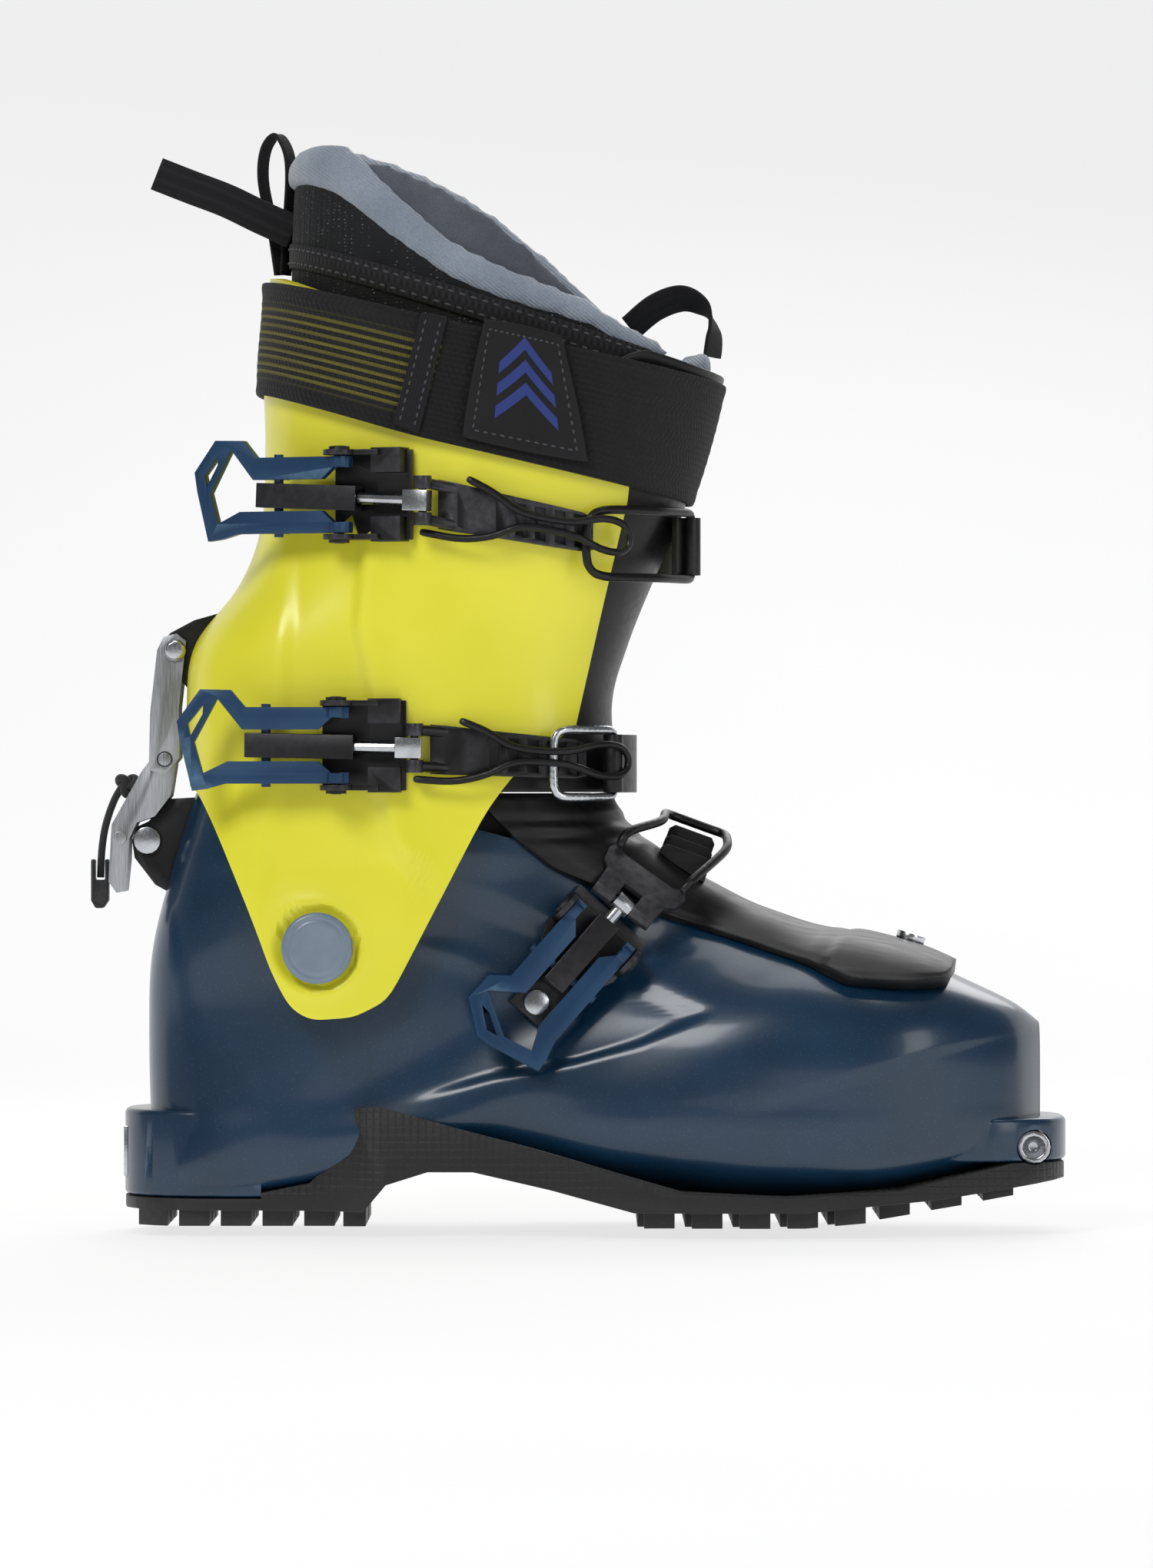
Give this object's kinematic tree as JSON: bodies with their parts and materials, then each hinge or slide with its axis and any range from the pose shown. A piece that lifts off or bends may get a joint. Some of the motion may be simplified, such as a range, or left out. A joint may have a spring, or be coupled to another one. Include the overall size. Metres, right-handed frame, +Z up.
{
  "type": "ski touring boot",
  "caption": "Ski touring boot: hinged cuff on a hollow shell, flexing tongue, liner, toggle buckles, strap, ski and walk lock, lugged sole.",
  "frame": {"origin": "under the centre of the heel, on the plane the boot stands on, at the flat face of a heel lug", "axes": "+X towards the toe, +Y towards the inner side of the right foot, +Z up the leg"},
  "size_m": [0.3068, 0.1253, 0.3429],
  "materials": {
    "blue": "satin gloss, fine metallic fleck",
    "yellow": "satin",
    "black": "satin, lightly brushed",
    "rubber": "moulded, fine hexagon texture",
    "webbing": "woven",
    "foam": "black mesh over foam",
    "steel": "polished",
    "grey_alloy": "brushed, hard anodised",
    "blue_alloy": "satin anodised blue",
    "black_alloy": "black anodised"
  },
  "bodies": {
    "shell": {"lower_shell": "blue", "outsole": "rubber", "boot_board": "foam", "liner_foot": "foam", "tongue_instep": "black", "tongue_screw": "steel", "instep_rack": "black", "instep_buckle_base": "black_alloy", "instep_buckle_screw": "steel", "toe_fitting": "steel", "heel_fitting": "steel", "shell_bracket": "black_alloy", "lock_pin": "steel", "cuff_pivot_outer": "blue_alloy", "cuff_pivot_inner": "blue_alloy"},
    "cuff": {"cuff_shell": "yellow", "tongue_shin": "black", "liner_shaft": "foam", "power_strap": "webbing", "strap_patch": "rubber", "rear_tab": "webbing", "rear_loop": "webbing", "front_loop": "webbing", "cuff_bracket": "black", "cuff_bracket_rivet": "steel", "upper_buckle_base": "black_alloy", "lower_buckle_base": "black_alloy", "upper_buckle_anchor": "black", "lower_buckle_anchor": "black"},
    "walk_bar": {"walk_bar": "grey_alloy"},
    "walk_lever": {"walk_lever": "grey_alloy", "pull_cord": "webbing", "cord_grip": "rubber"},
    "instep_lever": {"instep_buckle_lever": "blue_alloy"},
    "instep_rod": {"instep_buckle_sleeve": "black_alloy", "instep_buckle_rod": "steel"},
    "instep_loop": {"instep_loop_plate": "black_alloy", "instep_loop_wire": "black_alloy"},
    "upper_lever": {"upper_buckle_lever": "blue_alloy"},
    "upper_rod": {"upper_buckle_sleeve": "black_alloy", "upper_buckle_rod": "steel", "upper_buckle_rack": "black_alloy"},
    "upper_clip": {"upper_buckle_clip": "black_alloy"},
    "upper_bail": {"upper_buckle_bail": "black_alloy"},
    "lower_lever": {"lower_buckle_lever": "blue_alloy"},
    "lower_rod": {"lower_buckle_sleeve": "black_alloy", "lower_buckle_rod": "steel", "lower_buckle_rack": "black_alloy"},
    "lower_clip": {"lower_buckle_clip": "black_alloy"},
    "lower_bail": {"lower_buckle_bail": "steel"}
  },
  "joints": [
    {"name": "cuff_pivot", "type": "hinge", "parent": "shell", "child": "cuff", "pos_m": [0.026, 0, 0.087], "axis": [0, 1, 0], "range_deg": [-20, 5], "deforming": ["liner_shaft", "tongue_shin"]},
    {"name": "walk_lever_open", "type": "hinge", "parent": "walk_bar", "child": "walk_lever", "pos_m": [-0.0232, 0, 0.1455], "axis": [0, 1, 0], "range_deg": [0, 62]},
    {"name": "walk_bar_swing", "type": "hinge", "parent": "cuff", "child": "walk_bar", "pos_m": [-0.02, 0, 0.1797], "axis": [0, 1, 0], "range_deg": [0, 10]},
    {"name": "upper_lever_open", "type": "hinge", "parent": "cuff", "child": "upper_lever", "pos_m": [0.03285, -0.05405, 0.227], "axis": [0, 0, 1], "range_deg": [0, 105]},
    {"name": "upper_link_pin", "type": "hinge", "parent": "upper_lever", "child": "upper_rod", "pos_m": [0.01383, -0.04268, 0.227], "axis": [0, 0, 1], "range_deg": [-105, 0]},
    {"name": "upper_clip_lift", "type": "hinge", "parent": "upper_rod", "child": "upper_clip", "pos_m": [0.05875, -0.061, 0.22495], "axis": [0, 0, -1], "range_deg": [0, 84]},
    {"name": "upper_bail_swing", "type": "hinge", "parent": "cuff", "child": "upper_bail", "pos_m": [0.1421, -0.01609, 0.21204], "axis": [0, 0, 1], "range_deg": [0, 73.5]},
    {"name": "lower_lever_open", "type": "hinge", "parent": "cuff", "child": "lower_lever", "pos_m": [0.03206, -0.05844, 0.1496], "axis": [0, 0, 1], "range_deg": [0, 105]},
    {"name": "lower_link_pin", "type": "hinge", "parent": "lower_lever", "child": "lower_rod", "pos_m": [0.01028, -0.05439, 0.1496], "axis": [0, 0, 1], "range_deg": [-105, 0]},
    {"name": "lower_clip_lift", "type": "hinge", "parent": "lower_rod", "child": "lower_clip", "pos_m": [0.05611, -0.05551, 0.1488], "axis": [0, 0, -1], "range_deg": [0, 84]},
    {"name": "lower_bail_swing", "type": "hinge", "parent": "cuff", "child": "lower_bail", "pos_m": [0.11771, -0.03808, 0.14406], "axis": [0, 0, 1], "range_deg": [0, 105]},
    {"name": "instep_lever_open", "type": "hinge", "parent": "shell", "child": "instep_lever", "pos_m": [0.11283, -0.04485, 0.09124], "axis": [-0.7418, -0.0611, 0.6679], "range_deg": [0, 100]},
    {"name": "instep_link_pin", "type": "hinge", "parent": "instep_lever", "child": "instep_rod", "pos_m": [0.10203, -0.0453, 0.0792], "axis": [-0.7418, -0.0611, 0.6679], "range_deg": [-100, 0]},
    {"name": "instep_loop_lift", "type": "hinge", "parent": "instep_rod", "child": "instep_loop", "pos_m": [0.12041, -0.03931, 0.10017], "axis": [0.8065, -0.0874, -0.5847], "range_deg": [0, 120]}
  ],
  "couplings": [
    {"joint": "walk_bar_swing", "follows": "walk_lever_open", "ratio": 0.12},
    {"joint": "upper_link_pin", "follows": "upper_lever_open", "ratio": -1},
    {"joint": "upper_clip_lift", "follows": "upper_lever_open", "ratio": 0.8},
    {"joint": "upper_bail_swing", "follows": "upper_lever_open", "ratio": 0.7},
    {"joint": "lower_link_pin", "follows": "lower_lever_open", "ratio": -1},
    {"joint": "lower_clip_lift", "follows": "lower_lever_open", "ratio": 0.8},
    {"joint": "lower_bail_swing", "follows": "lower_lever_open", "ratio": 1},
    {"joint": "instep_link_pin", "follows": "instep_lever_open", "ratio": -1},
    {"joint": "instep_loop_lift", "follows": "instep_lever_open", "ratio": 1.2}
  ]
}
